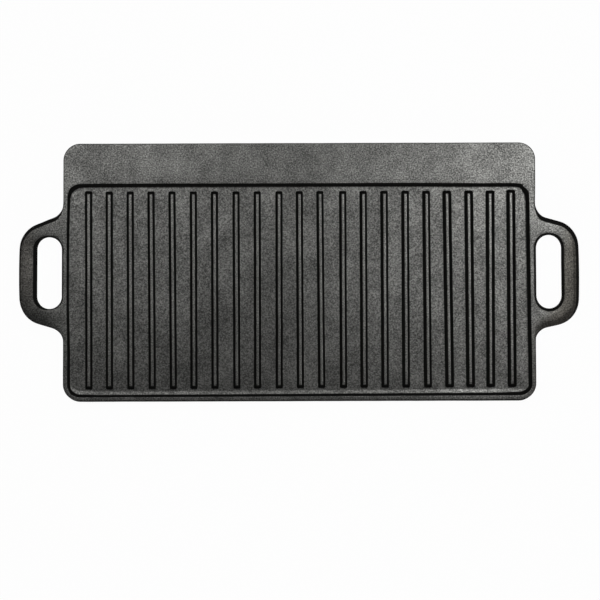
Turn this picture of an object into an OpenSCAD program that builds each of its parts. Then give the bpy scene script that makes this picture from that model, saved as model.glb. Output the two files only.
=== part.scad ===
// Cast-iron camp griddle plate, ribbed side up, in millimetres.
// +X runs along the handles, +Y points to the wide back shelf and +Z is up.
// The origin is on the resting plane, under the middle of the plate.

/* [Plate] */
// Width of the plate between its handles
plate_w = 420; // [360:1:480]
// Depth of the plate from its front edge to its back edge
plate_d = 230; // [200:1:270]
// Plan radius of the plate's four outer corners
corner_r = 15; // [12:0.5:24]
// Thickness of the cooking floor
floor_t = 4.5; // [3.5:0.1:6]
// Depth of the ribbed tray below the rim
tray_depth = 5.5; // [5:0.1:8]
// Height of the cooking floor's underside above the resting plane
foot_h = 5; // [3:0.1:8]

/* [Rim] */
// Width of the rim's top
rim_w = 3.8; // [3.2:0.1:5]
// Radius along the rim's outer edges
rim_edge_r = 1.3; // [0.6:0.1:1.5]

/* [Tray wall] */
// Lean of the tray's wall from upright, in degrees
tray_lean = 15; // [5:1:20]
// Radius along the wall's top edge
tray_edge_r = 0.8; // [0.4:0.1:1.2]
// Fillet where the wall meets the floor
tray_fillet_r = 1.6; // [0.8:0.1:2]
// Plan radius of the tray's two back corners, at the top edge
tray_corner_r = 10.5; // [7:0.5:14]

/* [Back shelf] */
// Depth of the shelf from the plate's back edge to the tray
shelf_d = 36.2; // [28:0.1:48]
// Thickness of the shelf, above the grease trough of the reverse side
shelf_t = 4.5; // [3.5:0.1:6]
// Width of the riser's top, between the tray and the shelf
riser_w = 5.2; // [4:0.1:8]
// Lean of the riser's trough side from upright, in degrees
trough_lean = 25; // [5:1:35]

/* [Ribs] */
// Distance from rib to rib
rib_pitch = 18.9; // [14:0.1:26]
// Height of a rib above the floor
rib_h = 4.5; // [3:0.1:5]
// Width of a rib's flat crest
rib_crest_w = 1.7; // [1.5:0.1:3.5]
// Lean of a rib's sides from upright, in degrees
rib_lean = 18; // [8:1:24]
// Radius along a rib's crest
rib_crest_r = 0.8; // [0.3:0.1:0.9]
// Fillet where a rib meets the floor
rib_fillet_r = 0.9; // [0.4:0.1:1.2]
// Plan radius of a rib's end corners
rib_end_r = 1.8; // [0.8:0.1:2.2]
// Floor left clear between the rib ends and the front wall
rib_gap_front = 3.5; // [2:0.1:10]
// Floor left clear between the rib ends and the back wall
rib_gap_back = 2.8; // [2:0.1:10]
// Least floor left clear between the outermost ribs and the side walls
rib_gap_side = 6; // [3:0.1:12]

/* [Handles] */
// Reach of a handle beyond the plate
handle_reach = 40; // [34:0.5:50]
// Width of a handle where it leaves the plate
handle_root_w = 125.5; // [112:0.5:140]
// Thickness of a handle, down from the rim's top
handle_t = 9; // [7:0.1:10]
// Height of a handle's parting line below the rim's top
handle_parting = 5; // [3:0.1:5.5]
// Slope of a handle's flanks towards the grip, in degrees
handle_slope = 18; // [8:1:22]
// Radius of the hollow between the plate and a flank
handle_root_r = 13.9; // [8:0.1:14]
// Radius of the shoulder between a flank and the grip
handle_shoulder_r = 23.5; // [18:0.1:30]
// Width of the grip bar between its outer edge and the slot
grip_w = 16.4; // [12:0.1:19]
// Length of the finger slot
slot_l = 64; // [50:1:72]
// Distance of the finger slot from the plate's edge
slot_gap = 1; // [0.8:0.1:3]
// Lean of a handle's sides from upright, in degrees
handle_lean = 18; // [6:1:20]
// Radius along a handle's top and bottom edges
handle_edge_r = 0.9; // [0.4:0.1:1.2]
// Rim left between a handle's seat and its own top edge
handle_land = 0.3; // [0.2:0.1:0.5]

/* [Hidden] */
iron = "#555452";
arc_steps = 4;
shoulder_steps = 14;
root_steps = 8;
past = 1;
$fn = 96;

// Heights
floor_top = foot_h + floor_t;
rim_top = floor_top + tray_depth;
trough_top = rim_top - shelf_t;

// Points of an arc about a centre, from one angle to another
function arc(centre, r, from, to, steps) =
  [for (i = [0 : steps]) let (a = from + (to - from) * i / steps) centre + r * [cos(a), sin(a)]];

// Points turned end for end
function reversed(points) = [for (i = [len(points) - 1 : -1 : 0]) points[i]];

// Sideways run of a leaning wall of height h with a round top edge and a foot fillet
function wall_run(h, lean, edge_r, fillet_r) =
  (edge_r + fillet_r) * cos(lean) + (h - (edge_r + fillet_r) * (1 - sin(lean))) * tan(lean);

// That wall's section, from its top edge at [0, h] down to its foot at [run, 0]
function wall_section(h, lean, edge_r, fillet_r) =
  let (run = wall_run(h, lean, edge_r, fillet_r))
  concat(
    arc([0, h - edge_r], edge_r, 90, lean, arc_steps),
    fillet_r > 0 ? arc([run, fillet_r], fillet_r, 180 + lean, 270, arc_steps) : [[run, 0]]
  );

// Tray: its wall's run, and where the floor and the top edges lie
tray_run = wall_run(tray_depth, tray_lean, tray_edge_r, tray_fillet_r);
tray_wall = wall_section(tray_depth, tray_lean, tray_edge_r, tray_fillet_r);
tray_half_w = plate_w / 2 - rim_w;
tray_back = plate_d / 2 - shelf_d;
floor_half_w = tray_half_w - tray_run;
floor_front = -plate_d / 2 + rim_w + tray_run;
floor_back = tray_back - tray_run;
riser_back = tray_back + riser_w;
side_end = plate_d / 2 - corner_r;

// Ribs: as many as fit between the side walls, about the middle of the plate
rib_run = wall_run(rib_h, rib_lean, rib_crest_r, rib_fillet_r);
rib_half_w = rib_crest_w / 2 + rib_run;
rib_front = floor_front + rib_gap_front;
rib_back = floor_back - rib_gap_back;
rib_half_l = (rib_back - rib_front) / 2;
rib_side_count = floor((floor_half_w - rib_gap_side - rib_half_w) / rib_pitch);
rib_count = 2 * rib_side_count + 1;

// Handles: the sides' runs above and below the parting line, the seat in the rim, and the slot
handle_low = handle_t - handle_parting;
handle_run = wall_run(handle_parting, handle_lean, handle_edge_r, 0);
handle_low_run = wall_run(handle_low, handle_lean, handle_edge_r, 0);
handle_seat = max(handle_run, handle_low_run) + handle_land;
slot_out = handle_reach - grip_w;
slot_r = (slot_out - slot_gap) / 2;
slot_mid = slot_gap + slot_r;
slot_end = slot_l / 2 - slot_r;

function rib_name(i) = str("rib_", i < 10 ? "0" : "", i);

// Section of the plain rim, outer face at x = 0, from its inner foot round to its inner top edge
rim_section = concat(
  [[-rim_w, 0]],
  arc([-rim_edge_r, rim_edge_r], rim_edge_r, 270, 360, arc_steps),
  arc([-rim_edge_r, rim_top - rim_edge_r], rim_edge_r, 0, 90, arc_steps),
  [[-rim_w, rim_top]]
);

// Section of the tray's wall where it stands against the rim
tray_toe_section = concat(
  [for (p = tray_wall) [-rim_w - p.x, floor_top + p.y]],
  [[-rim_w - tray_run, foot_h], [-rim_w, foot_h]]
);

// Section of that wall's foot alone, under the tray's back corners
low_toe_section = [
  [-rim_w, foot_h], [-rim_w, floor_top], [-rim_w - tray_run, floor_top], [-rim_w - tray_run, foot_h]
];

// A section run straight along Y, between two places
module straight_run(section, from, to) {
  translate([0, to, 0]) rotate([90, 0, 0]) linear_extrude(to - from) polygon(section);
}

// A section turned through the plate's right-hand corner, from +X to +Y
module corner_turn(section) {
  rotate_extrude(angle = 90) translate([corner_r, 0]) polygon(section);
}

// Both ends of a rim with the straight between them, at the back edge
module cross_rim(section) {
  reach = plate_w / 2 - corner_r;
  translate([0, plate_d / 2, 0]) rotate([0, 0, 90]) straight_run(section, -reach, reach);
  for (side = [0, 1]) mirror([side, 0, 0]) translate([reach, side_end, 0]) corner_turn(section);
}

// The rim along the right-hand side, with the seat for the handle's root
module side_rim() {
  difference() {
    translate([plate_w / 2, 0, 0]) {
      straight_run(rim_section, -side_end, side_end);
      straight_run(tray_toe_section, -side_end, tray_back - tray_corner_r);
      straight_run(low_toe_section, tray_back - tray_corner_r, floor_back);
    }
    translate([plate_w / 2 - handle_seat, -handle_root_w / 2, rim_top - handle_t])
      cube([handle_seat + past, handle_root_w, handle_t + past]);
  }
}

module rim_left() {
  color(iron) mirror([1, 0, 0]) side_rim();
}

module rim_right() {
  color(iron) side_rim();
}

module rim_front() {
  color(iron) mirror([0, 1, 0]) {
    cross_rim(rim_section);
    cross_rim(tray_toe_section);
  }
}

module rim_back() {
  color(iron) cross_rim(rim_section);
}

// Plan of a slab that has two round corners at its far end
module round_ended(half_w, near, far, r) {
  translate([-half_w, near]) square([2 * half_w, far - r - near]);
  translate([r - half_w, near]) square([2 * (half_w - r), far - near]);
  for (side = [-1, 1]) translate([side * (half_w - r), far - r]) circle(r);
}

module cooking_floor() {
  color(iron) translate([0, 0, foot_h]) linear_extrude(floor_t) mirror([0, 1])
    round_ended(floor_half_w, -floor_back, -floor_front, corner_r - rim_w - tray_run);
}

module back_shelf() {
  color(iron) translate([0, 0, trough_top]) linear_extrude(shelf_t)
    round_ended(tray_half_w, riser_back, plate_d / 2 - rim_w, corner_r - rim_w);
}

// What fills the tray's right-hand back corner outside its round wall
module tray_corner() {
  pocket = concat(
    [[0, rim_top + past], [tray_corner_r, rim_top + past]],
    [for (p = tray_wall) [tray_corner_r - p.x, floor_top + p.y]],
    [[tray_corner_r - tray_run, floor_top - past], [0, floor_top - past]]
  );
  translate([tray_half_w - tray_corner_r, tray_back - tray_corner_r, 0]) difference() {
    translate([0, 0, floor_top]) cube([tray_corner_r, tray_corner_r, tray_depth]);
    rotate_extrude() polygon(pocket);
  }
}

module shelf_riser() {
  trough_run = (trough_top - foot_h) * tan(trough_lean);
  section = concat(
    [for (p = tray_wall) [tray_back - p.x, floor_top + p.y]],
    [[floor_back, foot_h], [riser_back - trough_run, foot_h]],
    [[riser_back, trough_top], [riser_back, rim_top]]
  );
  color(iron) {
    translate([-tray_half_w, 0, 0]) rotate([90, 0, 90]) linear_extrude(2 * tray_half_w) polygon(section);
    for (side = [0, 1]) mirror([side, 0, 0]) tray_corner();
  }
}

// Section of a rib across one of its two directions, half as wide as half_w at its foot
module rib_section(half_w) {
  wall = wall_section(rib_h, rib_lean, rib_crest_r, rib_fillet_r);
  right = [for (p = wall) [half_w - rib_run + p.x, p.y]];
  polygon(concat(right, [for (p = reversed(right)) [-p.x, p.y]]));
}

module rib(i) {
  x = (i - 1 - rib_side_count) * rib_pitch;
  color(iron) translate([x, (rib_front + rib_back) / 2, floor_top]) intersection() {
    rotate([90, 0, 0]) linear_extrude(2 * rib_half_l, center = true) rib_section(rib_half_w);
    rotate([90, 0, 90]) linear_extrude(2 * rib_half_w, center = true) rib_section(rib_half_l);
    linear_extrude(rib_h + past) for (turn = [0, 1]) mirror([0, turn])
      round_ended(rib_half_w, 0, rib_half_l, rib_end_r);
  }
}

// Outer plan of the right-hand handle's back half, drawn in by an inset, from the seat to the grip
function handle_flank(inset) =
  let (
    root = [handle_root_r, handle_root_w / 2],
    root_end = root - handle_root_r * [sin(handle_slope), cos(handle_slope)],
    rise = handle_reach - handle_shoulder_r * (1 - sin(handle_slope)) - root_end.x,
    shoulder = [
      handle_reach - handle_shoulder_r,
      root_end.y - rise * tan(handle_slope) - handle_shoulder_r * cos(handle_slope)
    ]
  )
  concat(
    [[-handle_seat, handle_root_w / 2]],
    arc(root, handle_root_r + inset, 180, 270 - handle_slope, root_steps),
    arc(shoulder, handle_shoulder_r - inset, 90 - handle_slope, 0, shoulder_steps)
  );

// The slot's back half with as many points, let out by the same inset
flank_steps = root_steps + shoulder_steps + 2;
function slot_half(inset) = arc([slot_mid, slot_end], slot_r + inset, 180, 0, flank_steps);

// A whole loop from its back half, with the points that close it along the plate
function whole_loop(half) =
  let (start = half[0])
  concat(
    half,
    [for (p = reversed(half)) [p.x, -p.y]],
    [for (i = [1 : root_steps - 1]) [start.x, start.y * (2 * i / root_steps - 1)]]
  );

// Insets and heights of a handle's side, from its bottom edge up to its top edge
handle_side = concat(
  [for (p = wall_section(handle_low, handle_lean, handle_edge_r, 0))
    [handle_low_run - p.x, rim_top - handle_parting - p.y]],
  reversed([for (p = wall_section(handle_parting, handle_lean, handle_edge_r, 0))
    [handle_run - p.x, rim_top - handle_parting + p.y]])
);

// The right-hand handle: rings of points up its outer side, then down inside its slot
module handle() {
  rows = len(handle_side);
  levels = [for (i = [0 : rows - 1]) if (i != rows / 2) handle_side[i]];
  rings = concat(
    [for (s = levels) [for (p = whole_loop(handle_flank(s.x))) [p.x, p.y, s.y]]],
    [for (s = reversed(levels)) [for (p = whole_loop(slot_half(s.x))) [p.x, p.y, s.y]]]
  );
  count = len(rings);
  around = len(rings[0]);
  faces = [
    for (k = [0 : count - 1], j = [0 : around - 1], half = [0, 1])
      let (
        a = k * around + j,
        b = k * around + (j + 1) % around,
        c = ((k + 1) % count) * around + (j + 1) % around,
        d = ((k + 1) % count) * around + j
      )
      half == 0 ? [a, b, c] : [a, c, d]
  ];
  color(iron) translate([plate_w / 2, 0, 0])
    polyhedron(points = [for (ring = rings) each ring], faces = faces);
}

module handle_left() {
  mirror([1, 0, 0]) handle();
}

module handle_right() {
  handle();
}

cooking_floor();
rim_front();
rim_left();
rim_right();
rim_back();
shelf_riser();
back_shelf();
handle_left();
handle_right();
for (i = [1 : rib_count]) rib(i);
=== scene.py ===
"""Looks of a cast-iron camp griddle plate, ribbed side up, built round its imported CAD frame.

The file is laid out as an add-on and run as a script. Each feature of the casting is skinned as an even
mesh with round edges and the slight waviness of a sand casting, in the place of its CAD node.
Lengths are in metres and +X runs along the handles, +Y to the wide back shelf and +Z up.
"""

import math
from functools import partial

import bmesh
import bpy
from bpy.props import FloatProperty, FloatVectorProperty, PointerProperty
from mathutils import Matrix, Vector, noise


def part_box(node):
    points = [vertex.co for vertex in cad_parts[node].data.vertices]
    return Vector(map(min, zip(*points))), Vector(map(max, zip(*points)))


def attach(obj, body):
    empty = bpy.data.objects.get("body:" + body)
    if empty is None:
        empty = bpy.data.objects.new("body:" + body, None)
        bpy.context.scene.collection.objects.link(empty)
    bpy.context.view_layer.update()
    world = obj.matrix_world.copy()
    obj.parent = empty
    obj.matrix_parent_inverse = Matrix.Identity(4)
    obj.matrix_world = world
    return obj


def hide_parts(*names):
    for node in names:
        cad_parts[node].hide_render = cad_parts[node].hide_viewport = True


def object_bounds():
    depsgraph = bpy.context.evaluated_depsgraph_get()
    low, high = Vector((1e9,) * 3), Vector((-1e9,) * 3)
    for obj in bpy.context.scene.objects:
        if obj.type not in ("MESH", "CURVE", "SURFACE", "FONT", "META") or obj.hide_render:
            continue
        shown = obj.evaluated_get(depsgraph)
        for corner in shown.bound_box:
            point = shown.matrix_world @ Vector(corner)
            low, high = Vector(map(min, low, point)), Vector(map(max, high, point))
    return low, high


bl_info = {
    "name": "Camp Griddle Plate",
    "version": (1, 0, 0),
    "blender": (4, 5, 0),
    "location": "View3D > Sidebar > Griddle",
    "description": "Builds a ribbed cast-iron griddle plate round its packed CAD frame",
    "category": "Object",
}

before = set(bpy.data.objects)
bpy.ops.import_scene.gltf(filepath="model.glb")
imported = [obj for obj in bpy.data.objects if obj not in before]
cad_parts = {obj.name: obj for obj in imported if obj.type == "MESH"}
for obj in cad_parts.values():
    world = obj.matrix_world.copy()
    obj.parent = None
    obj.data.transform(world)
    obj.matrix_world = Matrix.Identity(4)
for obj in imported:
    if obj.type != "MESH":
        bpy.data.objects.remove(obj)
CAD_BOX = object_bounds()
BOX = {name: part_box(name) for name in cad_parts}
MM = 0.001

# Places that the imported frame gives
RIM_TOP = BOX["rim_back"][1].z
HALF_W, HALF_D = BOX["rim_back"][1].x, BOX["rim_back"][1].y
CORNER_R = HALF_D - BOX["rim_back"][0].y
FLOOR_LOW, FLOOR_HIGH = BOX["cooking_floor"]
SHELF_LOW, SHELF_HIGH = BOX["back_shelf"]
HANDLE_LOW, HANDLE_HIGH = BOX["handle_right"]
RIM_W = HALF_W - SHELF_HIGH.x
TRAY_RUN = SHELF_HIGH.x - FLOOR_HIGH.x
TRAY_BACK = FLOOR_HIGH.y + TRAY_RUN
TRAY_CORNER_R = TRAY_BACK - BOX["shelf_riser"][0].y
SEAT = HALF_W - HANDLE_LOW.x
RIB_NODES = sorted(name for name in BOX if name.startswith("rib_"))
RIB_TOP = BOX[RIB_NODES[0]][1].z

# How each rib of the hand-made pattern lies off its even place: millimetres to the right, degrees of turn
RIB_LAY = (
    (0.98, 0.21), (0.44, 0.18), (0.38, 0.27), (0.31, 0.44), (0.1, 0.43), (-0.13, 0.16), (-0.28, 0.14),
    (0.14, 0.18), (-0.06, 0.01), (0.34, -0.04), (-0.07, 0.18), (-0.34, 0.36), (0.64, 0.03), (0.12, 0.05),
    (-0.1, 0.05), (-0.28, 0.04), (-0.06, 0.24), (-0.42, 0.49), (-0.31, 0.21), (-0.71, -0.17), (-0.87, 0.01),
)

# Where the irregularities of the tray and the ribs begin and are in full, and half the left wall's bow
SIDE_SET = FLOOR_HIGH.x - 4.5 * MM, FLOOR_HIGH.x
FRONT_SET = FLOOR_LOW.y + 4.5 * MM, FLOOR_LOW.y
CORNER_FILL = HALF_W - 40 * MM, HALF_W - 10 * MM
CORNER_CUT = 18 * MM, 0
SLIP_WIDTH = 6.5 * MM, 3.5 * MM
SLIP_LENGTH = 90 * MM, 150 * MM
FLARE_WIDTH = HALF_W - 25 * MM, HALF_W - 5 * MM
FLARE_LENGTH = 45 * MM, 90 * MM
LEFT_TOES = 0, 130 * MM
RIGHT_TOES = 114 * MM, 132 * MM
CREST_TRIM = -150 * MM, -110 * MM
LEFT_BOW_HALF = 75 * MM

# The same along a handle, in shares of its reach, and the distance from its middle to its full ends
SHOULDER_FULL = 0.2, 0.6
SHOULDER_DRAW = 0.25, 0.75
GRIP_DRAW = 0.5, 1
GRIP_HALF = 25 * MM

# Share of the mould's shift that a slot takes across and along, and how much its side leans: all round,
# and more at the grip, at the plate, at its back end and at its front end
SLOT_SHIFT = 0.75, 0.1
SLOT_LEAN = 0.52
LEFT_SLOT_LEAN = 1.3, 0.2, 0, 0
RIGHT_SLOT_LEAN = 0.9, 0.5, 0.23, 0.88

# How much more the right grip's outside leans
RIGHT_GRIP_LEAN = 0.2
# How much more the tops of the front flanks fall away, and how soon round a shoulder that is in full
FRONT_CROWN = 0.7
FLANK_GAIN = 1.3

# Where the handles' darker skin lies: from the plate's edge outwards; drawn out at the back, painted light
# on the side that faces the lamps, and drawn in at the front, painted shade on the side away from them,
# which also greys the left front arm and begins further back on the left
SKIN_START, SKIN_FULL = HALF_W + 6 * MM, HALF_W + 30 * MM
BACK_START, BACK_FULL, BACK_DRAW = 8 * MM, 36 * MM, 9 * MM
FRONT_SHADE_FULL, FRONT_SHADE_START, FRONT_SHADE_DRAW = -56 * MM, -26 * MM, 13 * MM
LEFT_SHADE_SET = 14 * MM

# How finely the skins are divided, and how their points crowd towards an edge
MESH_STEP = 2.5 * MM
RIB_STEP = 2 * MM
EDGE_STEP = 0.6 * MM
RISER_TURN = 6
ARC_STEPS = 6
FOOT_STEPS = 3
RAMP_STEPS = 5
RIB_END_STEPS = 4
CORNER_STEPS = 14
ROOT_STEPS, FLANK_STEPS, SHOULDER_STEPS = 10, 7, 20
TOP_STEPS, TOP_CROWD = 9, 1.4
WELD = 0.004 * MM
SHARP_ANGLE = math.radians(38)

# Share of a rim's corner that keeps the section of its straight run
CORNER_HOLD = 0.375
# How hollow the front ramp is, and how close to its edges a handle's top falls away, as powers
RAMP_HOLLOW = 1.6
TOP_FALL = 5
# Radius of a crest's end corners, as a share of its half width
CREST_END = 0.4
# Where a slot's loop stands beside the end of a handle's seat, in degrees round the slot's end
SLOT_TURN = 168
# Length over which a handle's draft grows from the plate, in radii of its hollow
DRAFT_RUN = 1.1
# Where the broad swellings lie in the noise, away from the fine ones
WARP_PLACE = Vector((31, 17, 5))
# Seed of the casting's waves, without which they would differ from run to run
WAVE_SEED = 1


def linear(hex_colour):
    """An sRGB hex colour as linear red, green and blue"""
    parts = [int(hex_colour[i : i + 2], 16) / 255 for i in (1, 3, 5)]
    return [p / 12.92 if p <= 0.04045 else ((p + 0.055) / 1.055) ** 2.4 for p in parts]


def length(name, about, mm):
    """A property that holds a length, given in millimetres"""
    return FloatProperty(name=name, description=about, default=mm * MM, min=0, precision=5, unit="LENGTH")


def place(name, about, mm):
    """A property that holds a place or a shift, given in millimetres"""
    return FloatVectorProperty(
        name=name, description=about, default=[v * MM for v in mm], size=len(mm), precision=5, unit="LENGTH"
    )


def angle(name, about, degrees):
    """A property that holds an angle"""
    return FloatProperty(name=name, description=about, default=math.radians(degrees), unit="ROTATION")


def factor(name, about, default):
    """A property that holds a share"""
    return FloatProperty(name=name, description=about, default=default, min=0, max=1, subtype="FACTOR")


def power(name, about, default):
    """A property that holds a lamp's power"""
    return FloatProperty(name=name, description=about, default=default, min=0, unit="POWER")


def colour(name, about, hex_colour):
    """A property that holds a colour"""
    return FloatVectorProperty(
        name=name, description=about, default=linear(hex_colour), subtype="COLOR", min=0, max=1
    )


class GriddleSizes(bpy.types.PropertyGroup):
    """Sizes of the casting's edges, drafts, ribs and handles"""

    rim_edge: length("Rim edge", "Radius along the rim's outer edges", 0.8)
    rim_foot: length("Rim foot", "Radius along the foot's inner edge", 0.6)
    tray_lean: angle("Tray lean", "Lean of the tray's wall from upright", 15)
    tray_edge: length("Tray edge", "Radius along the top of the tray's wall", 0.5)
    tray_fillet: length("Tray fillet", "Fillet where the tray's wall meets the floor", 1.3)
    front_run: length("Front run", "Run of the front wall, which stands steeper", 2.8)
    front_ramp: length("Front ramp", "Width of the hollow ramp from the floor to the front wall", 2.7)
    front_rise: length("Front rise", "Height of that ramp", 0.36)
    left_tray: length("Left tray", "How far the tray's left wall sits out", 0.35)
    left_bow: length("Left bow", "How much further it sits out in its middle", 0.7)
    right_tray: length("Right tray", "How far the tray's right wall sits in", 0.27)
    right_turn: angle("Right turn", "Turn of the tray's right wall in plan", 0.5)
    right_flare: length("Right flare", "Flare of the plate's right edge at the back", 0.6)
    front_tray: length("Front tray", "How far the tray's front wall sits out", 0.46)
    front_turn: angle("Front turn", "Turn of the tray's front wall in plan", 0.12)
    left_slant: length("Left slant", "How much less the left wall leans at its foot", 0.55)
    right_slant: length("Right slant", "How much more the right wall leans at its foot", 1.0)
    front_slant: length("Front slant", "How much more the front wall leans at its foot", 1.0)
    corner_fill: length("Corner fill", "How much fuller the front corners' foot is", 1.3)
    riser_set: length("Riser set", "How far the riser's top edge sits further back", 0.4)
    riser_droop: length("Riser droop", "How far the riser's top sinks towards its edge", 0.12)
    riser_slip: length("Riser slip", "How far the riser's right end lies to the front", 0.42)
    left_cut: length("Left cut", "How far the left back corner's top is cut off", 0.5)
    right_cut: length("Right cut", "How far the right back corner's top is cut off", 0.8)
    cut_fill: length("Cut fill", "How much fuller those corners' foot is", 1.4)
    trough_lean: angle("Trough lean", "Lean of the riser's trough side from upright", 25)
    rib_lean: angle("Rib lean", "Lean of a rib's sides from upright", 18)
    rib_crest: length("Rib crest", "Radius along a rib's crest", 0.8)
    rib_fillet: length("Rib fillet", "Fillet where a rib meets the floor", 0.9)
    rib_end: length("Rib end", "Plan radius of a rib's end corners at its foot", 1.15)
    rib_end_run: FloatProperty(
        name="Rib end run", description="Run of a rib's ends over its sides' run", default=1.5
    )
    rib_droop: length("Rib droop", "How far a rib's crest sinks at its ends", 0.3)
    rib_droop_run: length("Rib droop run", "Length over which it sinks", 8)
    rib_set: length("Rib set", "How far the ribs sit to the right", 0.7)
    rib_reach: length("Rib reach", "How much further the ribs run to the front", 0.19)
    rib_slant: angle("Rib slant", "Turn of the line of the ribs' front ends", 0.2)
    back_toe: length("Back toe", "How far a rib's foot spreads to the back", 0.45)
    end_rib_reach: length("End rib reach", "How much further the end ribs run to the back", 0.55)
    left_toe: length("Left toe", "How far a rib's foot spreads to the left", 0.22)
    left_toe_growth: length("Left toe growth", "How much further it spreads on the rightmost ribs", 0.62)
    right_toe: length("Right toe", "How far the rightmost ribs' feet spread to the right", 0.93)
    crest_trim: length("Crest trim", "How much each side of a crest is trimmed, but at the left", 0.13)
    rib_bed: length("Rib bed", "How deep a rib's foot is bedded in the floor", 0.3)
    handle_reach: length(
        "Handle reach", "Reach of a handle beyond the plate", (HANDLE_HIGH.x - HALF_W) / MM - 0.4
    )
    handle_lean: angle("Handle lean", "Lean of a handle's sides from upright", 18)
    handle_edge: length("Handle edge", "Radius along a handle's top and bottom edges", 1.4)
    left_crown: length("Left crown", "How far the left handle's outer top edge falls away", 0.2)
    right_crown: length("Right crown", "How far the right handle's outer top edge falls away", 0.55)
    slot_crown: length("Slot crown", "How far a handle's top falls away at the slot", 0.12)
    handle_parting: length("Handle parting", "Depth of the parting line below the rim's top", 5)
    handle_slope: angle("Handle slope", "Slope of a handle's flanks towards the grip", 18)
    handle_root: length("Handle root", "Radius of the hollow between the plate and a flank", 13.9)
    handle_shoulder: length("Handle shoulder", "Radius between a flank and the grip", 23.5)
    grip_width: length("Grip width", "Width of the grip outside the slot", 16.4)
    slot_length: length("Slot length", "Length of the finger slot", 64)
    slot_gap: length("Slot gap", "Gap between the slot and the plate's edge", 1)
    left_set: length("Left set", "How far the left handle's outline sits to the front", 0.85)
    right_set: length("Right set", "How far the right handle's outline sits to the front", 1.5)
    left_trim: length("Left trim", "How much narrower the left handle is on each flank", 0.4)
    left_draw: length("Left draw", "How far the left handle's back shoulder is drawn in", 0.6)
    left_hollow: length("Left hollow", "How far the left handle's hollows lie to the back", 0.5)
    right_draw: length("Right draw", "How far the right grip is drawn in", 0.3)
    right_full: length("Right full", "How much fuller the right handle's shoulders are", 0.6)
    right_hollow: length("Right hollow", "How much deeper the right handle's front hollow is", 0.65)
    grip_bow: length("Grip bow", "How far the ends of a grip lie behind its middle", 0.5)
    slot_set: length("Slot set", "How far the slots sit to the front", 0.55)
    left_slot_set: length("Left slot set", "How far the left slot sits further out", 0.5)
    left_slot_trim: length("Left slot trim", "How much narrower the left slot is at the grip", 0.45)
    right_slot_set: length("Right slot set", "How far the right slot sits further out", 0.07)
    right_slot_growth: length("Right slot growth", "How much longer the right slot is at each end", 0.8)
    mould_shift: place("Mould shift", "Shift of the handles' top half", (-0.6, -2.2))
    wave_size: length("Wave size", "Distance between the fine swellings", 9)
    wave_depth: length("Wave depth", "Height of the fine swellings", 0.05)
    warp_size: length("Warp size", "Distance between the broad swellings", 34)
    warp_depth: length("Warp depth", "Height of the broad swellings", 0.09)


class GriddleFinish(bpy.types.PropertyGroup):
    """Colours and grain of the seasoned iron"""

    # Pale iron is also where the painted highlight along the rib crests goes
    iron_pale: colour("Pale iron", "Worn high spots of the seasoned skin", "#8a8a87")
    iron_dark: colour("Dark iron", "Low spots of the seasoned skin", "#3a3a39")
    left_tint: colour("Left tint", "What the left handle's darker skin keeps of the light", "#cfcbc8")
    right_tint: colour("Right tint", "What the right handle's brownish skin keeps", "#c4bfb9")
    # Front arm shade: painted shade on the left handle's front arm, away from the lamps
    front_arm_shade_tint: colour("Pooled tint", "What the left front arm keeps, where oil pooled", "#a3a3a3")
    # Near black painted on steep sides as shade, and the real black of the blow holes
    steep_shade_and_pit_black: colour("Baked oil", "Steep sides, where the oil bakes on thickest", "#1e1e1d")
    grain_size: length("Grain size", "Width of the sand grain in the skin", 1.25)
    grain_depth: length("Grain depth", "Depth of the sand grain", 0.08)
    pit_size: length("Pit size", "Radius of the few blow holes", 0.5)
    pit_spacing: length("Pit spacing", "Distance between blow holes in the iron", 20)
    mottle_size: length("Mottle size", "Width of the seasoning's blotches", 26)
    # Crest highlight: how much paler the rib crests are painted, a painted highlight
    crest_highlight_gain: factor("Crest wear", "How much paler the rubbed rib crests are", 0.12)
    roughness: factor("Roughness", "Roughness of the skin on the flats", 0.36)
    crust_roughness: factor("Crust roughness", "Roughness on steep sides", 0.8)


class GriddleStudio(bpy.types.PropertyGroup):
    """Floor, lights and camera"""

    floor_colour: colour("Floor colour", "Paper that the plate lies on", "#f4f4f3")
    floor_white: factor("Floor white", "Share of plain white in the floor that the camera sees", 0.975)
    left_lamp: place("Left lamp", "Where the left lamp hangs", (-248, 260, 720))
    right_lamp: place("Right lamp", "Where the right lamp hangs", (296, 216, 720))
    front_lamp: place("Front lamp", "Where the front lamp hangs", (0, -1400, 600))
    side_width: length("Side width", "Width of the left and of the right lamp", 355)
    front_width: length("Front width", "Width of the front lamp", 600)
    left_power: power("Left power", "Power of the left lamp", 0.89)
    right_power: power("Right power", "Power of the right lamp", 1.64)
    front_power: power("Front power", "Power of the front lamp", 6.0)
    sky_strength: factor("Sky strength", "Strength of the even light from all round", 0.16)
    view_middle: place("View middle", "Middle of the picture", (0.58, -25.32, 12))
    view_width: length("View width", "Width of the picture at the plate", 533.4)
    camera_distance: length("Camera distance", "Distance from the camera to the plate", 3000)
    camera_tilt: angle("Camera tilt", "How far the camera leans to the front", 4.5)
    camera_roll: angle("Camera roll", "Turn of the picture", -0.17)


def arc(centre, radius, start, end, steps=ARC_STEPS):
    """Points of an arc about a centre, from one angle to another in degrees"""
    turns = [math.radians(start + (end - start) * i / steps) for i in range(steps + 1)]
    return [(centre[0] + radius * math.cos(a), centre[1] + radius * math.sin(a)) for a in turns]


def spaced(start, end, step=MESH_STEP):
    """Even values from start to end, both included, about a step apart"""
    count = max(1, round(abs(end - start) / step))
    return [start + (end - start) * i / count for i in range(count + 1)]


def blend(a, b, share):
    """The value or point a share of the way from a to b"""
    return a + (b - a) * share


def smooth(share):
    """A share that starts and ends gently"""
    share = min(1, max(0, share))
    return share * share * (3 - 2 * share)


def between(value, start, full):
    """How far a value has come from start to full, as a share that starts and ends gently"""
    return smooth((value - start) / (full - start))


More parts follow.
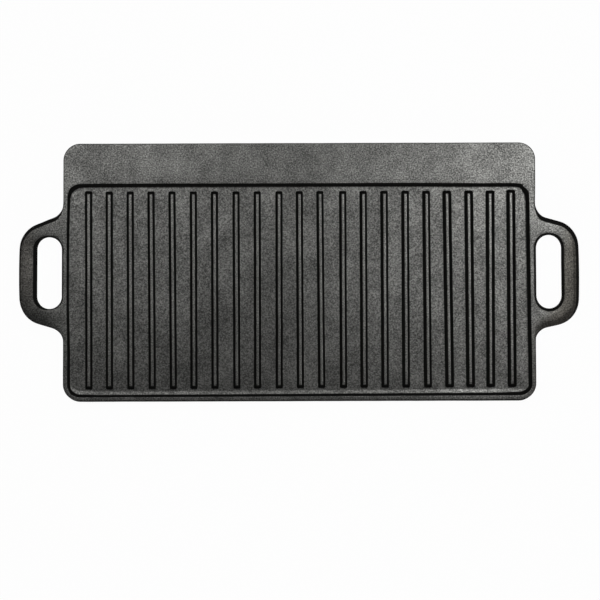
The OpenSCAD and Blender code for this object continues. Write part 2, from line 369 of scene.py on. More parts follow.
def leaning_wall(height, lean, edge, fillet=0.0):
    """A drafted wall's side as (run out, height), from its round top edge down to its foot"""
    degrees = math.degrees(lean)
    both = edge + fillet
    run = both * math.cos(lean) + (height - both * (1 - math.sin(lean))) * math.tan(lean)
    top = arc((0, height - edge), edge, 90, degrees)
    foot = arc((run, fillet), fillet, 180 + degrees, 270) if fillet else [(run, 0)]
    middle = [blend(Vector(top[-1]), Vector(foot[0]), i / 3) for i in (1, 2)]
    return top + [tuple(p) for p in middle] + foot


def tray_wall(sizes, run=TRAY_RUN, ramp=0.0, rise=0.0):
    """The tray's wall as (run out, height), with its foot carried on by a hollow ramp across the floor.

    Without a ramp those points lie on its foot and are welded later, so every wall has as many.
    """
    foot = FLOOR_HIGH.z + rise
    wall = leaning_wall(RIM_TOP - foot, sizes.tray_lean, sizes.tray_edge, sizes.tray_fillet)
    shares = [i / RAMP_STEPS for i in range(1, RAMP_STEPS + 1)]
    return [(out * run / wall[-1][0], foot + up) for out, up in wall[:-1]] + [
        (run + ramp * share, FLOOR_HIGH.z + rise * (1 - share) ** RAMP_HOLLOW) for share in shares
    ]


def rim_outside(sizes):
    """The rim's section as (distance in, height), from its inner foot round its outside to its top"""
    foot, edge = sizes.rim_foot, sizes.rim_edge
    return (
        arc((RIM_W - foot, foot), foot, 360, 270, FOOT_STEPS)
        + arc((edge, edge), edge, 270, 180)
        + [(0, z) for z in spaced(edge, HANDLE_LOW.z)[1:]]
        + [(0, z) for z in spaced(HANDLE_LOW.z, RIM_TOP - edge)[1:-1]]
        + arc((edge, RIM_TOP - edge), edge, 180, 90)
        + [(edge + EDGE_STEP, RIM_TOP), (SEAT, RIM_TOP), (RIM_W, RIM_TOP)]
    )


def seat_outside(sizes):
    """That section where the handle's seat is cut out of it, with as many points"""
    outside = rim_outside(sizes)
    start = next(i for i, p in enumerate(outside) if p[0] == 0 and p[1] >= HANDLE_LOW.z - WELD)
    count = len(outside) - 2 - start
    half = count // 2
    shelf = [(SEAT * i / half, HANDLE_LOW.z) for i in range(1, half + 1)]
    wall = [(SEAT, blend(HANDLE_LOW.z, RIM_TOP, i / (count - half))) for i in range(1, count - half + 1)]
    return outside[: start + 1] + shelf + wall + outside[-1:]


def inside_with_toe(wall):
    """The rim's inside with the tray's wall, from below its top edge to its underside"""
    toe = [(RIM_W + TRAY_RUN, FLOOR_LOW.z), (RIM_W, FLOOR_LOW.z)]
    return [(RIM_W + out, z) for out, z in wall[1:]] + toe


def inside_with_low_toe(sizes):
    """The rim's inside with only the foot of that wall, under the tray's back corners"""
    count = len(tray_wall(sizes)) - 2
    face = [(RIM_W, blend(RIM_TOP, FLOOR_HIGH.z, i / count)) for i in range(1, count + 1)]
    toe = [(RIM_W + TRAY_RUN, FLOOR_HIGH.z), (RIM_W + TRAY_RUN, FLOOR_LOW.z)]
    return face + toe + [(RIM_W, FLOOR_LOW.z)]


def inside_plain(sizes):
    """The rim's bare inside"""
    return [(min(RIM_W, inward), z) for inward, z in inside_with_low_toe(sizes)]


def skin(mesh, rings, closed=False):
    """Skins rings of points with quads, and gives the rings' vertices"""
    rows = [[mesh.verts.new(p) for p in ring] for ring in rings]
    for a, b in zip(rows, rows[1:] + rows[:1] if closed else rows[1:]):
        for i in range(len(a)):
            mesh.faces.new((a[i - 1], a[i], b[i], b[i - 1]))
    return rows


def sweep(mesh, rings):
    """Skins rings of points, and caps both ends"""
    rows = skin(mesh, rings)
    mesh.faces.new(rows[0])
    mesh.faces.new(rows[-1])


def both_sides(half):
    """Rings of a right-hand half, with their mirror images before them"""
    return [[(-x, y, z) for x, y, z in ring] for ring in reversed(half[1:])] + half


def tray_set(point, sizes):
    """How far the tray's walls sit off the pattern, since the two halves of the mould don't quite match"""
    over_x, over_y = abs(point.x) - HALF_W + CORNER_R, abs(point.y) - HALF_D + CORNER_R
    inset = CORNER_R - (math.hypot(over_x, over_y) if min(over_x, over_y) > 0 else max(over_x, over_y))
    top, foot = between(inset, 0, RIM_W), between(inset, RIM_W, RIM_W + TRAY_RUN)
    lift = between(point.z, FLOOR_LOW.z, FLOOR_HIGH.z)
    side, front = lift * between(abs(point.x), *SIDE_SET), lift * between(point.y, *FRONT_SET)
    if point.x < 0:
        bow = max(0, 1 - (point.y / LEFT_BOW_HALF) ** 2)
        x = -top * (sizes.left_tray + sizes.left_bow * bow) - foot * sizes.left_slant * bow
    else:
        x = -top * (sizes.right_tray + sizes.right_turn * point.y) - foot * sizes.right_slant
    turned = sizes.front_turn * point.x
    fill = sizes.corner_fill * between(abs(point.x), *CORNER_FILL)
    y = top * (turned - sizes.front_tray) + foot * (turned + sizes.front_slant + fill)
    # The back corners are cut off evenly both ways, the riser slips at its right end, and the edge flares
    rise = min(1, max(0, (point.z - FLOOR_HIGH.z) / (RIM_TOP - FLOOR_HIGH.z)))
    cut = (sizes.left_cut if point.x < 0 else sizes.right_cut) + sizes.cut_fill * (1 - rise)
    off_corner = math.hypot(abs(point.x) - SHELF_HIGH.x, point.y - TRAY_BACK)
    cut *= math.sqrt(0.5) * top * lift * between(off_corner, *CORNER_CUT)
    slip = between(abs(point.y - TRAY_BACK), *SLIP_WIDTH) * between(point.x, *SLIP_LENGTH)
    slip *= sizes.riser_slip * top * lift
    flare = between(point.x, *FLARE_WIDTH) * between(point.y, *FLARE_LENGTH)
    flare *= sizes.right_flare * (1 - top)
    return Vector((side * x - math.copysign(cut, point.x) + flare, front * y - cut - slip, 0))


def cast_place(point, sizes):
    """Where a point of the pattern lies on the casting: slightly wavy, and drawn in by as much"""
    low, high = CAD_BOX
    middle, half = (low + high) / 2, (high - low) / 2
    fine, broad = sizes.wave_depth, sizes.warp_depth
    wave = noise.noise_vector(point / sizes.wave_size) * fine
    wave += noise.noise_vector(point / sizes.warp_size + WARP_PLACE) * broad
    wave += tray_set(point, sizes)
    for i in range(3):
        inward = (fine + broad) * (point[i] - middle[i]) / half[i]
        wave[i] = min(high[i], max(low[i], point[i] + wave[i] - inward))
    return wave


def put(scene, name, data):
    """A new object in the scene"""
    thing = bpy.data.objects.new(name, data)
    scene.collection.objects.link(thing)
    return thing


def put_mesh(scene, name, mesh, material):
    """A new smooth object of a mesh and a material"""
    data = bpy.data.meshes.new(name)
    mesh.to_mesh(data)
    mesh.free()
    data.shade_smooth()
    data.materials.append(material)
    return put(scene, name, data)


def cast_piece(scene, node, fill, *form):
    """Makes the piece that stands for a CAD node, from a function that fills its mesh with a form"""
    mesh = bmesh.new()
    fill(mesh, *form)
    bmesh.ops.remove_doubles(mesh, verts=mesh.verts, dist=WELD)
    bmesh.ops.recalc_face_normals(mesh, faces=mesh.faces)
    gaps = [edge for edge in mesh.edges if not edge.is_manifold]
    if gaps:
        raise RuntimeError(f"the skin of {node} is open at {len(gaps)} edges")
    noise.seed_set(WAVE_SEED)
    for vert in mesh.verts:
        vert.co = cast_place(vert.co, scene.griddle_sizes)
    piece = put_mesh(scene, f"iron_{node}", mesh, seasoned_iron(scene.griddle_finish))
    piece.data.set_sharp_from_angle(angle=SHARP_ANGLE)
    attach(piece, "root")
    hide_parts(node)


def slab_rows(low, high, turn):
    """Rings of a slab with two round corners at one end; turn is +1 for the back end, -1 for the front"""
    centre_x, centre_y = HALF_W - CORNER_R, turn * (HALF_D - CORNER_R)
    radius = high.x - centre_x
    rows = [(high.x, y) for y in spaced(low.y if turn > 0 else high.y, centre_y)]
    rows += [(centre_x + x, centre_y + turn * y) for x, y in arc((0, 0), radius, 0, 90, CORNER_STEPS)[1:]]
    across = [x / centre_x for x in spaced(-centre_x, 0)[:-1] + spaced(0, centre_x)]
    rings = []
    for half, y in rows:
        top = [(half * share, y, high.z) for share in across]
        rings.append(top + [(x, y, low.z) for x, y, _ in reversed(top)])
    return rings


def cross_rim_rings(section, end_section, turn):
    """Rings of a rim that crosses the plate and takes in two corners; turn is +1 at the back, -1 in front.

    The section changes to the end section through the corners.
    """
    centre_x, centre_y = HALF_W - CORNER_R, HALF_D - CORNER_R
    half = [[(x, turn * (HALF_D - d), z) for d, z in section] for x in spaced(0, centre_x)]
    for i in range(1, CORNER_STEPS + 1):
        a = math.radians(90 - 90 * i / CORNER_STEPS)
        share = between(i / CORNER_STEPS, CORNER_HOLD, 1)
        turned = [blend(Vector(p), Vector(q), share) for p, q in zip(section, end_section)]
        ring = [(CORNER_R - d, z) for d, z in turned]
        half.append([(centre_x + r * math.cos(a), turn * (centre_y + r * math.sin(a)), z) for r, z in ring])
    return both_sides(half)


def side_rim_rings(sizes, side):
    """Rings of a rim along one side of the plate, with the seat for the handle's root"""
    end, root, corner = HALF_D - CORNER_R, HANDLE_HIGH.y, TRAY_BACK - TRAY_CORNER_R
    full, cut = rim_outside(sizes), seat_outside(sizes)
    toe = inside_with_toe(tray_wall(sizes))
    low_toe, plain = inside_with_low_toe(sizes), inside_plain(sizes)
    runs = [
        (-end, -root, full + toe),
        (-root, root, cut + toe),
        (root, corner, full + toe),
        (corner, FLOOR_HIGH.y, full + low_toe),
        (FLOOR_HIGH.y, SHELF_LOW.y, full + plain),
        (SHELF_LOW.y, end, full + plain),
    ]
    rings = []
    for start, stop, section in runs:
        rings += [[(side * (HALF_W - d), y, z) for d, z in section] for y in spaced(start, stop)]
    return rings


def riser_rings(sizes):
    """Rings of the wall between the tray and the shelf, with the fill of the tray's two back corners"""
    centre_x, centre_y = SHELF_HIGH.x - TRAY_CORNER_R, TRAY_BACK - TRAY_CORNER_R
    wall = tray_wall(sizes)
    slope = math.tan(sizes.trough_lean)
    back = SHELF_LOW.y - centre_y
    foot = FLOOR_HIGH.y - centre_y
    under = [
        (foot, FLOOR_HIGH.z),
        (foot, FLOOR_LOW.z),
        (back - (SHELF_LOW.z - FLOOR_LOW.z) * slope, FLOOR_LOW.z),
        (back - (SHELF_LOW.z - FLOOR_HIGH.z) * slope, FLOOR_HIGH.z),
        (back, SHELF_LOW.z),
        (back, RIM_TOP),
    ]

    def ring(x, turn, has_foot):
        """One ring: across the plate at x, or turned about the corner's centre by an angle from +Y"""

        def reach(north):
            """How far a line that lies north of the corner's centre is along the turned direction"""
            to_side = TRAY_CORNER_R / math.sin(turn) if turn else math.inf
            return min(to_side, north / math.cos(turn))

        back_set = sizes.riser_set * math.cos(turn)
        face = []
        for out, z in wall:
            rise = (z - FLOOR_HIGH.z) / (RIM_TOP - FLOOR_HIGH.z)
            face.append((TRAY_CORNER_R - out + back_set * (1 - out / TRAY_RUN), z - sizes.riser_droop * rise))
        outline = face + [(reach(n), z if has_foot else max(z, FLOOR_HIGH.z)) for n, z in under]
        edge, end = Vector(face[0]), Vector(outline[-1])
        top = [tuple(blend(end, edge, share)) for share in (0.33, 0.67)]
        return [(x + r * math.sin(turn), centre_y + r * math.cos(turn), z) for r, z in outline + top]

    foot_end = math.atan2(TRAY_CORNER_R, foot)
    turns = {math.radians(a) for a in spaced(0, 90, RISER_TURN)[1:]}
    turns = sorted(turns | {math.atan2(TRAY_CORNER_R, n) for n, _ in under})
    half = [ring(x, 0, True) for x in spaced(0, centre_x)]
    half += [ring(centre_x, a, True) for a in turns if a <= foot_end]
    half += [ring(centre_x, a, False) for a in turns if a >= foot_end]
    return both_sides(half)


def rib_loops(sizes, node):
    """Loops round a rib from its bedded foot up to its crest, and the number of points along a side"""
    low, high = BOX[node]
    middle, half = (low + high) / 2, (high - low) / 2
    aside, turned = RIB_LAY[RIB_NODES.index(node)]
    lay, turned = sizes.rib_set + aside * MM, math.tan(math.radians(turned))
    left_toe = sizes.left_toe + sizes.left_toe_growth * between(middle.x, *LEFT_TOES)
    right_toe = sizes.right_toe * between(middle.x, *RIGHT_TOES)
    trim = sizes.crest_trim * between(middle.x, *CREST_TRIM)
    to_front = sizes.rib_reach - sizes.rib_slant * middle.x
    to_back = sizes.end_rib_reach if node in (RIB_NODES[0], RIB_NODES[-1]) else 0
    wall = leaning_wall(high.z - low.z, sizes.rib_lean, sizes.rib_crest, sizes.rib_fillet)
    run = wall[-1][0]
    levels = [(run - out, low.z + up, up / (high.z - low.z)) for out, up in reversed(wall)]
    levels.insert(0, (0, low.z - sizes.rib_bed, 0))
    loops = []
    for inset, z, rise in levels:
        wide, far = half.x - inset, half.y - inset * sizes.rib_end_run
        radius = blend(sizes.rib_end, CREST_END * (half.x - run), rise)
        along = [share * (far - radius) for share in spaced(-1, 1, RIB_STEP / half.y)]
        turn = [(wide - radius + x, far - radius + y) for x, y in arc((0, 0), radius, 0, 90, RIB_END_STEPS)]
        right = [(wide, y) for y in along] + turn[1:]
        left = [(-x, y) for x, y in reversed(turn)] + [(-wide, y) for y in reversed(along)][1:]
        front = [(-x, -y) for x, y in turn[1:]] + [(x, -y) for x, y in reversed(turn)][:-1]
        loop = []
        for x, y in right + left + front:
            near_end = max(0, 1 - (half.y - abs(y)) / sizes.rib_droop_run)
            reach = to_back + sizes.back_toe * (1 - rise) ** 2 if y > 0 else to_front
            y += reach * y / half.y
            toe = right_toe if x > 0 else left_toe
            x += x / wide * (toe * (1 - rise) ** 2 - trim * rise) + lay - turned * y
            loop.append((middle.x + x, middle.y + y, z - sizes.rib_droop * rise * near_end**2))
        loops.append(loop)
    return loops, len(along)


def fill_rib(mesh, loops, count):
    """Skins a rib's loops, closes its foot with one face and its crest with quads across"""
    rows = skin(mesh, loops)
    mesh.faces.new(rows[0])
    crest = rows[-1]
    turn = (len(crest) - 2 * count) // 2
    right, back = crest[:count], crest[count - 1 : count + turn + 1]
    left, front = crest[count + turn : 2 * count + turn], crest[2 * count + turn - 1 :] + crest[:1]
    for i in range(count - 1):
        mesh.faces.new((right[i], right[i + 1], left[-2 - i], left[-1 - i]))
    mesh.faces.new(back)
    mesh.faces.new(front)


def handle_plan(sizes):
    """The back half of a handle's plan, from its seat to the middle of its grip.

    With x = 0 on the plate's edge, gives the outline and the slot as lists of (point, way into the iron),
    and each place's share of the handle's own draft, which grows out of the rim's edge.
    """
    reach, slope, root_half = sizes.handle_reach, sizes.handle_slope, HANDLE_HIGH.y
    root_r, shoulder_r, slant = sizes.handle_root, sizes.handle_shoulder, math.degrees(slope)
    slot_out = reach - sizes.grip_width
    slot_r = (slot_out - sizes.slot_gap) / 2
    slot_mid, slot_end = sizes.slot_gap + slot_r, sizes.slot_length / 2 - slot_r
    inward = -Vector((math.sin(slope), math.cos(slope)))
    root = Vector((root_r, root_half))
    root_end = root + root_r * inward
    rise = reach - shoulder_r * (1 - math.sin(slope)) - root_end.x
    shoulder_y = root_end.y - rise * math.tan(slope) - shoulder_r * math.cos(slope)
    shoulder = Vector((reach - shoulder_r, shoulder_y))
    shoulder_start = shoulder - shoulder_r * inward

    straight = spaced(0, slot_end)
    beside = [(Vector((-SEAT, y)), Vector((0, 0))) for y in straight + spaced(slot_end, root_half)[1:]]
    hollow = [Vector(p) for p in arc(root, root_r, 180, 270 - slant, ROOT_STEPS)]
    flank = [(p, (p - root) / root_r) for p in hollow]
    for i in range(1, FLANK_STEPS):
        flank.append((blend(root_end, shoulder_start, i / FLANK_STEPS), inward))
    bend = [Vector(p) for p in arc(shoulder, shoulder_r, 90 - slant, 0, SHOULDER_STEPS)]
    flank += [(p, (shoulder - p) / shoulder_r) for p in bend]
    grip = [(Vector((reach, y)), Vector((-1, 0))) for y in spaced(shoulder.y, 0)[1:]]

    gone, shares = 0, [0.0] * len(beside)
    for i, (point, _) in enumerate(flank):
        gone += (point - flank[i - 1][0]).length if i else 0
        shares.append(smooth(gone / (DRAFT_RUN * root_r)))
    shares += [1.0] * len(grip)

    turned = len(beside) - len(straight)
    turns = [blend(180, SLOT_TURN, i / turned) for i in range(1, turned + 1)]
    turns += [blend(SLOT_TURN, 0, i / len(flank)) for i in range(1, len(flank) + 1)]
    slot = [(Vector((sizes.slot_gap, y)), Vector((-1, 0))) for y in straight]
    for a in turns:
        way = Vector((math.cos(math.radians(a)), math.sin(math.radians(a))))
        slot.append((Vector((slot_mid, slot_end)) + slot_r * way, way))
    for i in range(1, len(grip) + 1):
        slot.append((Vector((slot_out, slot_end * (1 - i / len(grip)))), Vector((1, 0))))
    return beside + flank + grip, slot, shares


def handle_rings(sizes, side):
    """Closed rings of a handle, up its outside, over its top, down inside the slot and back below"""
    outline, slot, shares = handle_plan(sizes)
    parting = RIM_TOP - sizes.handle_parting
    upper = leaning_wall(sizes.handle_parting, sizes.handle_lean, sizes.handle_edge)
    lower = leaning_wall(parting - HANDLE_LOW.z, sizes.handle_lean, sizes.handle_edge)
    levels = [(lower[-1][0] - out, parting - up) for out, up in lower]
    levels += [(upper[-1][0] - out, parting + up) for out, up in reversed(upper[:-1])]
    shift_x, shift_y = side * sizes.mould_shift[0], sizes.mould_shift[1]

    def outline_sway(point, flip, lift):
        """How far a place on the outline lies off the pattern"""
        set_back = sizes.left_set if side < 0 else sizes.right_set
        sway = Vector((shift_x * lift, flip * (shift_y * lift - set_back)))
        reached = point.x / sizes.handle_reach
        outer, swell = between(reached, *GRIP_DRAW), between(reached, *SHOULDER_FULL)
        ends = min(1, abs(point.y) / GRIP_HALF)
        sway.x -= outer * sizes.grip_bow * ends**2
        if side < 0:
            drawn = between(reached, *SHOULDER_DRAW) * (1 if flip > 0 else 0.5)
            hollow = flip * sizes.left_hollow * (1 - swell)
            sway.y -= ends * (sizes.left_trim + drawn * sizes.left_draw - hollow)
        else:
            sway.x -= outer * sizes.right_draw
            hollow = 0 if flip > 0 else sizes.right_hollow * (1 - swell)
            sway.y += ends * (swell * sizes.right_full - hollow)
        return sway

    def slot_sway(way, flip, lift):
        """How far a place on the slot's edge lies off the pattern"""
        across, along = SLOT_SHIFT
        sway = Vector((across * shift_x * max(0, way.x), along * shift_y * flip)) * lift
        sway.y -= flip * sizes.slot_set
        if side < 0:
            return sway + Vector((sizes.left_slot_set - max(0, way.x) * sizes.left_slot_trim, 0))
        return sway + Vector((sizes.right_slot_set, way.y * sizes.right_slot_growth))

    def slot_lean(way, flip):
        """How much the slot's side leans, as a share of a handle's own lean"""
        grip, plate, back, front = LEFT_SLOT_LEAN if side < 0 else RIGHT_SLOT_LEAN
        end = (back if flip > 0 else front) * max(0, way.y) ** 2
        return SLOT_LEAN + grip * max(0, way.x) ** 1.5 + plate * max(0, -way.x) + end

    def ring(inset, z, inner):
        """The loop of the outline or of the slot at one height of the side"""
        lift = max(0, (z - parting) / (RIM_TOP - parting))
        drop = z - (RIM_TOP - sizes.rim_edge)
        rim_inset = sizes.rim_edge - math.sqrt(max(0, sizes.rim_edge**2 - drop**2)) if drop > 0 else 0
        crown = sizes.slot_crown if inner else sizes.left_crown if side < 0 else sizes.right_crown
        loops = []
        for flip in (1, -1):
            half = []
            for (point, way), share in zip(slot if inner else outline, shares):
                if inner:
                    spot = point + way * inset * slot_lean(way, flip) + slot_sway(way, flip, lift)
                else:
                    lean = 1 + RIGHT_GRIP_LEAN * max(0, -way.x) ** 2 if side > 0 else 1
                    out = blend(rim_inset, inset * lean, share)
                    spot = point + way * out + outline_sway(point, flip, lift) * share
                flank = smooth(-FLANK_GAIN * way.y)
                fall = 1 if inner else 1 + FRONT_CROWN * flank if flip < 0 else 1 - flank
                fall *= crown * lift * share
                half.append((side * (HALF_W + spot.x), flip * spot.y, z - fall))
            loops.append(half)
        return loops[0] + list(reversed(loops[1][1:-1]))

    def across(a, b, top):
        """Loops between two loops, which fall away from a level top only near those loops"""
        loops = []
        for share in [(i / TOP_STEPS) ** TOP_CROWD for i in range(1, TOP_STEPS)]:
            loop = []
            for p, q in zip(a, b):
                x, y, _ = blend(Vector(p), Vector(q), share)
                z = top + (p[2] - top) * (1 - share) ** TOP_FALL + (q[2] - top) * share**TOP_FALL
                loop.append((x, y, z))
            loops.append(loop)
        return loops

    outside = [ring(inset, z, False) for inset, z in levels]
    inside = [ring(inset, z, True) for inset, z in reversed(levels)]
    over, under = across(outside[-1], inside[0], RIM_TOP), across(inside[-1], outside[0], HANDLE_LOW.z)
    return outside + over + inside + under


def add_node(tree, kind, inputs=(), **settings):
    """A shader node with its settings and inputs; an input is a value, a socket or a node to link from.

    A kind in capitals is the operation of a math node.
    """
    if kind.isupper():
        kind, settings["operation"] = "Math", kind
    node = tree.nodes.new(f"ShaderNode{kind}")
    for name, value in settings.items():
        setattr(node, name, value)
    for key, value in inputs.items() if isinstance(inputs, dict) else enumerate(inputs):
        if isinstance(value, bpy.types.Node):
            value = next(socket for socket in value.outputs if socket.enabled)
        if isinstance(value, bpy.types.NodeSocket):
            tree.links.new(value, node.inputs[key])
        else:
            node.inputs[key].default_value = value
    return node


def blank_material(name):
    """A new material without nodes, and a function that adds nodes to it"""
    material = bpy.data.materials.new(name)
    material.use_nodes = True
    material.node_tree.nodes.clear()
    return material, partial(add_node, material.node_tree)


def seasoned_iron(finish):
    """Grey cast iron, sand cast and oil seasoned.

    The sand leaves a fine pebbled skin, and the baked oil makes it a dark satin: grey on flat faces, a little
    brown on the right handle, and blotched. Painted onto it are shade, nearly black on steep sides and darker
    on the handles' front parts, painted light at the handles' backs, and a painted highlight along the rib
    crests.
    A range node takes a value, the two ends that it comes from and the two that it goes to.
    """
    name = "seasoned_sand_cast_iron"
    if name in bpy.data.materials:
        return bpy.data.materials[name]
    material, add = blank_material(name)
    eased = partial(add, "MapRange", interpolation_type="SMOOTHSTEP")
    mix = partial(add, "Mix", data_type="RGBA")
    coords = add("TexCoord").outputs
    point, normal = coords["Object"], coords["Normal"]
    # The grain of moulding sand is under 1 mm, and is drawn coarser so that it shows
    sand = {"Vector": point, "Scale": 1 / finish.grain_size, "Detail": 1.0, "Roughness": 0.6}
    grain = add("TexNoise", sand)
    seasoning = {"Vector": point, "Scale": 1 / finish.mottle_size, "Detail": 4.0, "Roughness": 0.62}
    mottle = add("TexNoise", seasoning)
    speckle = add("MapRange", (grain, 0.3, 0.7, -0.33, 0.33))
    blotch = add("MapRange", (mottle, 0.25, 0.75, 0.28, 0.68))
    wear_and_highlight = add("ADD", (speckle, blotch), use_clamp=True)
    wear_and_highlight = add("POWER", (wear_and_highlight, 1.6))
    # Rib crests: painted paler at the crests' height, a painted highlight along them
    along, back, up = add("SeparateXYZ", (point,)).outputs
    off_crest = add("SUBTRACT", (up, RIB_TOP))
    off_crest = add("ABSOLUTE", (off_crest,))
    highlighted = add("MapRange", (off_crest, 0.3 * MM, 0.8 * MM, finish.crest_highlight_gain, 0.0))
    wear_and_highlight = add("ADD", (wear_and_highlight, highlighted))
    flat = mix({0: wear_and_highlight, 6: (*finish.iron_dark, 1), 7: (*finish.iron_pale, 1)})
    # Handles: the skin turns darker from the rim outwards, brownish on the right; drawn in at the front and
    # on the left front arm as painted shade away from the lamps, and drawn out at the back as painted light
    outward = add("ABSOLUTE", (along,))
    on_left = add("LESS_THAN", (along, 0.0))
    # Painted shade: the darker skin reaches further in at the handles' fronts, away from the lamps, and greys
    # the left front arm
    much = add("MULTIPLY_ADD", (on_left, -0.5, 1.5))
    behind = add("MULTIPLY_ADD", (on_left, -LEFT_SHADE_SET, back))
    front_shade = eased((behind, FRONT_SHADE_FULL, FRONT_SHADE_START, much, 0.0))
    tint = mix({0: front_shade, 6: (*finish.left_tint, 1), 7: (*finish.front_arm_shade_tint, 1)})
    tint = mix({0: on_left, 6: (*finish.right_tint, 1), 7: tint})
    outward = add("MULTIPLY_ADD", (front_shade, FRONT_SHADE_DRAW, outward))
    # Painted light: the handles' backs, which face the lamps, stay paler
    back_light_draw = eased((back, BACK_START, BACK_FULL, 0.0, -BACK_DRAW))
    outward = add("ADD", (outward, back_light_draw))
    handle_skin_and_shade = eased((outward, SKIN_START, SKIN_FULL))
    handle_tone_and_shade = mix({0: handle_skin_and_shade, 6: flat, 7: tint}, blend_type="MULTIPLY")
    # Steep sides: how far the surface turns from level, where near black is painted on as shade
    level = add("SeparateXYZ", (normal,)).outputs["Z"]
    level = add("ABSOLUTE", (level,))
    steep = eased((level, 0.86, 0.99, 1.0, 0.0))
    # Blow holes: small balls of black in the iron, which show where the skin cuts one
    hole = add("TexVoronoi", {"Vector": point, "Scale": 1 / finish.pit_spacing})
    reach = finish.pit_size / finish.pit_spacing
    pit = add("MapRange", (hole, 0.6 * reach, 1.2 * reach, 1.0, 0.0))
    shade_and_pit_mask = add("MAXIMUM", (steep, pit))
    # Steep sides take the near black as painted shade, and the blow holes take it as their real black
    base = mix({0: shade_and_pit_mask, 6: handle_tone_and_shade, 7: (*finish.steep_shade_and_pit_black, 1)})
    # High spots of the grain are a little smoother, and on steep sides the oil bakes to a dull crust
    rough = add("MapRange", (grain, 0.3, 0.7, finish.roughness + 0.06, finish.roughness - 0.06))
    rough = add("Mix", {0: steep, 2: rough, 3: finish.crust_roughness})
    bump = add("Bump", {"Height": grain, "Distance": finish.grain_depth, "Strength": 1.0})
    iron = {
        "Base Color": base,
        "Metallic": 1.0,
        "Roughness": rough,
        "Specular Tint": (0.5, 0.5, 0.5, 1),
        "Normal": bump,
    }
    add("OutputMaterial", {"Surface": add("BsdfPrincipled", iron)})
    return material


def white_paper(studio):
    """Matt white paper, which the camera and the iron see as nearly plain white, with the plate's shadow"""
    material, add = blank_material("matt_white_paper")
    ray = add("LightPath").outputs
    seen = ray["Is Camera Ray"]
    for kind in ("Is Glossy Ray", "Is Transmission Ray"):
        seen = add("MAXIMUM", (seen, ray[kind]))
    share = add("MULTIPLY", (seen, studio.floor_white))
    paper = add("BsdfDiffuse", {"Color": (*studio.floor_colour, 1)})
    white = add("Emission", {"Strength": 1.0})
    mixed = add("MixShader", (share, paper, white))
    # From below the paper isn't there, so that the reverse side can be looked at
    back = add("NewGeometry").outputs["Backfacing"]
    clear = add("BsdfTransparent")
    sided = add("MixShader", (back, mixed, clear))
    add("OutputMaterial", {"Surface": sided})
    return material


class GRIDDLE_OT_floor(bpy.types.Operator):
    """Cast the floor of the ribbed tray"""

    bl_idname = "griddle.floor"
    bl_label = "Cooking Floor"

    def execute(self, context):
        cast_piece(context.scene, "cooking_floor", sweep, slab_rows(FLOOR_LOW, FLOOR_HIGH, -1))
        return {"FINISHED"}


class GRIDDLE_OT_rims(bpy.types.Operator):
    """Cast the rim round the plate, with the tray's wall on three sides"""

    bl_idname = "griddle.rims"
    bl_label = "Rims"

    def execute(self, context):
        sizes = context.scene.griddle_sizes
        outside = rim_outside(sizes)
        side = outside + inside_with_toe(tray_wall(sizes))
        front_wall = tray_wall(sizes, sizes.front_run, sizes.front_ramp, sizes.front_rise)
        front = outside + inside_with_toe(front_wall)
        back = outside + inside_plain(sizes)
        rims = {
            "rim_front": cross_rim_rings(front, side, -1),
            "rim_back": cross_rim_rings(back, back, 1),
            "rim_left": side_rim_rings(sizes, -1),
            "rim_right": side_rim_rings(sizes, 1),
        }
        for node, rings in rims.items():
            cast_piece(context.scene, node, sweep, rings)
        return {"FINISHED"}


class GRIDDLE_OT_shelf(bpy.types.Operator):
    """Cast the wide shelf along the back edge, and the riser between it and the tray"""

    bl_idname = "griddle.shelf"
    bl_label = "Back Shelf"

    def execute(self, context):
        scene = context.scene
        cast_piece(scene, "back_shelf", sweep, slab_rows(SHELF_LOW, SHELF_HIGH, 1))
        cast_piece(scene, "shelf_riser", sweep, riser_rings(scene.griddle_sizes))
        return {"FINISHED"}


class GRIDDLE_OT_ribs(bpy.types.Operator):
    """Cast the searing ribs"""

    bl_idname = "griddle.ribs"
    bl_label = "Searing Ribs"

    def execute(self, context):
        for node in RIB_NODES:
            cast_piece(context.scene, node, fill_rib, *rib_loops(context.scene.griddle_sizes, node))
        return {"FINISHED"}


class GRIDDLE_OT_handles(bpy.types.Operator):
    """Cast the two loop handles"""

    bl_idname = "griddle.handles"
    bl_label = "Handles"

    def execute(self, context):
        for node, side in (("handle_left", -1), ("handle_right", 1)):
            rings = handle_rings(context.scene.griddle_sizes, side)
            cast_piece(context.scene, node, skin, rings, True)
        return {"FINISHED"}


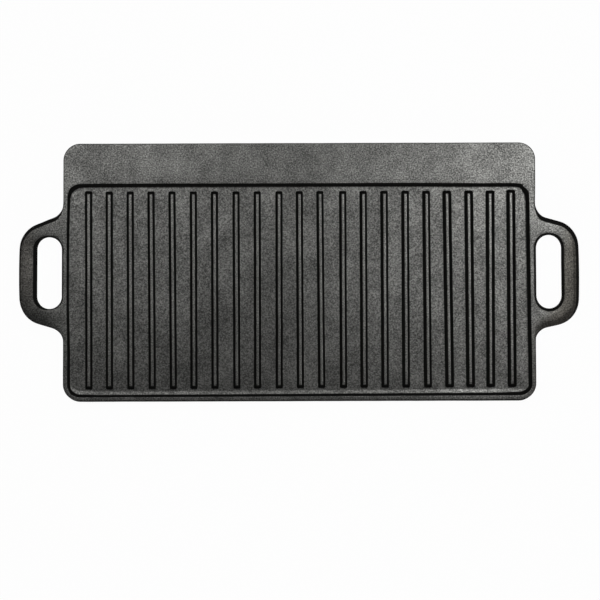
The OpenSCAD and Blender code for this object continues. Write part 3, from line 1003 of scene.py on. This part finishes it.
class GRIDDLE_OT_studio(bpy.types.Operator):
    """Lay the paper floor, and set the lamps and the camera"""

    bl_idname = "griddle.studio"
    bl_label = "Studio"

    def execute(self, context):
        scene, studio = context.scene, context.scene.griddle_studio
        scene.view_settings.view_transform = "Standard"
        self.lay_floor(scene, studio)
        self.hang_lamp(scene, "left_softbox", studio.left_lamp, studio.side_width, studio.left_power)
        self.hang_lamp(scene, "right_softbox", studio.right_lamp, studio.side_width, studio.right_power)
        self.hang_lamp(scene, "front_softbox", studio.front_lamp, studio.front_width, studio.front_power)
        world = bpy.data.worlds.new("even_studio_light")
        world.use_nodes = True
        sky = world.node_tree.nodes["Background"].inputs
        sky["Strength"].default_value = studio.sky_strength
        sky["Color"].default_value = (1, 1, 1, 1)
        scene.world = world
        lens = bpy.data.cameras.new("camera")
        lens.lens = lens.sensor_width * studio.camera_distance / studio.view_width
        lens.clip_start, lens.clip_end = 0.1, 100
        camera = put(scene, "camera", lens)
        turn = Matrix.Rotation(studio.camera_tilt, 4, "X") @ Matrix.Rotation(studio.camera_roll, 4, "Z")
        away = Matrix.Translation((0, 0, studio.camera_distance))
        camera.matrix_world = Matrix.Translation(studio.view_middle) @ turn @ away
        scene.camera = camera
        return {"FINISHED"}

    def lay_floor(self, scene, studio):
        """A round sheet of paper that curves up far from the plate"""
        flat, bend, sides = 4, 2, 64
        profile = [(flat + bend, z) for z in (5, 4, 3)] + arc((flat, bend), bend, 360, 270, 12)
        profile += [(r, 0) for r in (3, 2, 1, 0.5, 0.02)]
        turns = [2 * math.pi * i / sides for i in range(sides)]
        mesh = bmesh.new()
        rows = skin(mesh, [[(r * math.cos(a), r * math.sin(a), z) for a in turns] for r, z in profile])
        mesh.faces.new(rows[-1])
        floor = put_mesh(scene, "paper_floor", mesh, white_paper(studio))

    def hang_lamp(self, scene, name, spot, width, watts):
        """A square softbox that faces the plate"""
        data = bpy.data.lights.new(name, "AREA")
        data.size, data.energy = width, watts
        lamp = put(scene, name, data)
        lamp.location = spot
        lamp.rotation_euler = (-Vector(spot)).to_track_quat("-Z", "Y").to_euler()
        lamp.visible_camera = False


GROUPS = {"griddle_sizes": GriddleSizes, "griddle_finish": GriddleFinish, "griddle_studio": GriddleStudio}
STEPS = (
    GRIDDLE_OT_floor,
    GRIDDLE_OT_rims,
    GRIDDLE_OT_shelf,
    GRIDDLE_OT_ribs,
    GRIDDLE_OT_handles,
    GRIDDLE_OT_studio,
)


class GRIDDLE_PT_panel(bpy.types.Panel):
    """Buttons for the griddle's pieces, and their sizes and colours"""

    bl_idname = "GRIDDLE_PT_panel"
    bl_label = "Camp Griddle Plate"
    bl_space_type = "VIEW_3D"
    bl_region_type = "UI"
    bl_category = "Griddle"

    def draw(self, context):
        for step in STEPS:
            self.layout.operator(step.bl_idname)
        for group_name, group in GROUPS.items():
            box = self.layout.box()
            for name in group.__annotations__:
                box.prop(getattr(context.scene, group_name), name)


CLASSES = (*GROUPS.values(), *STEPS, GRIDDLE_PT_panel)


def register():
    """Adds the classes and the scene's properties"""
    for cls in CLASSES:
        bpy.utils.register_class(cls)
    for name, group in GROUPS.items():
        setattr(bpy.types.Scene, name, PointerProperty(type=group))


def unregister():
    """Takes the properties and the classes away again"""
    for name in GROUPS:
        delattr(bpy.types.Scene, name)
    for cls in reversed(CLASSES):
        bpy.utils.unregister_class(cls)


def main():
    register()
    bpy.ops.griddle.floor()
    bpy.ops.griddle.rims()
    bpy.ops.griddle.shelf()
    bpy.ops.griddle.ribs()
    bpy.ops.griddle.handles()
    bpy.ops.griddle.studio()


if __name__ == "__main__":
    main()
